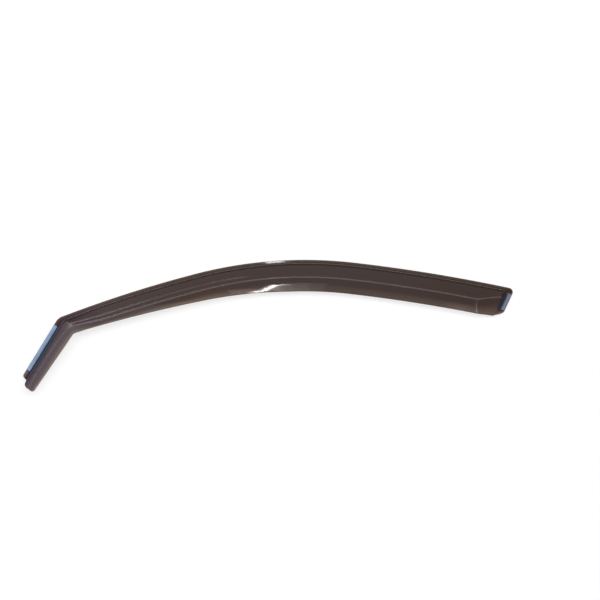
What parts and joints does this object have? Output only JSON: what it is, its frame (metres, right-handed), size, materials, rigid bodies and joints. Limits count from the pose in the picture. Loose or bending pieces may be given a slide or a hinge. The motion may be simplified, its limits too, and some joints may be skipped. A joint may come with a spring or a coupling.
{
  "type": "window rain deflector",
  "caption": "Smoked acrylic rain deflector for a front car door window, with a channel lip, a stepped and creased blade and foam tape at both ends.",
  "frame": {"origin": "middle of the whole outline, on the table that the lip lies on", "axes": "+X towards the rear of the car, +Y towards the roof, +Z out of the car through the outer face"},
  "size_m": [0.8558, 0.2646, 0.0197],
  "materials": {
    "smoked_acrylic": "deep gloss, see-through smoked brown",
    "foam_tape": "matt closed-cell foam",
    "release_film": "smooth satin film"
  },
  "bodies": {
    "root": {"shield": "smoked_acrylic", "leg_tape": "foam_tape", "leg_film": "release_film", "rear_tape": "foam_tape", "rear_film": "release_film"}
  },
  "joints": []
}
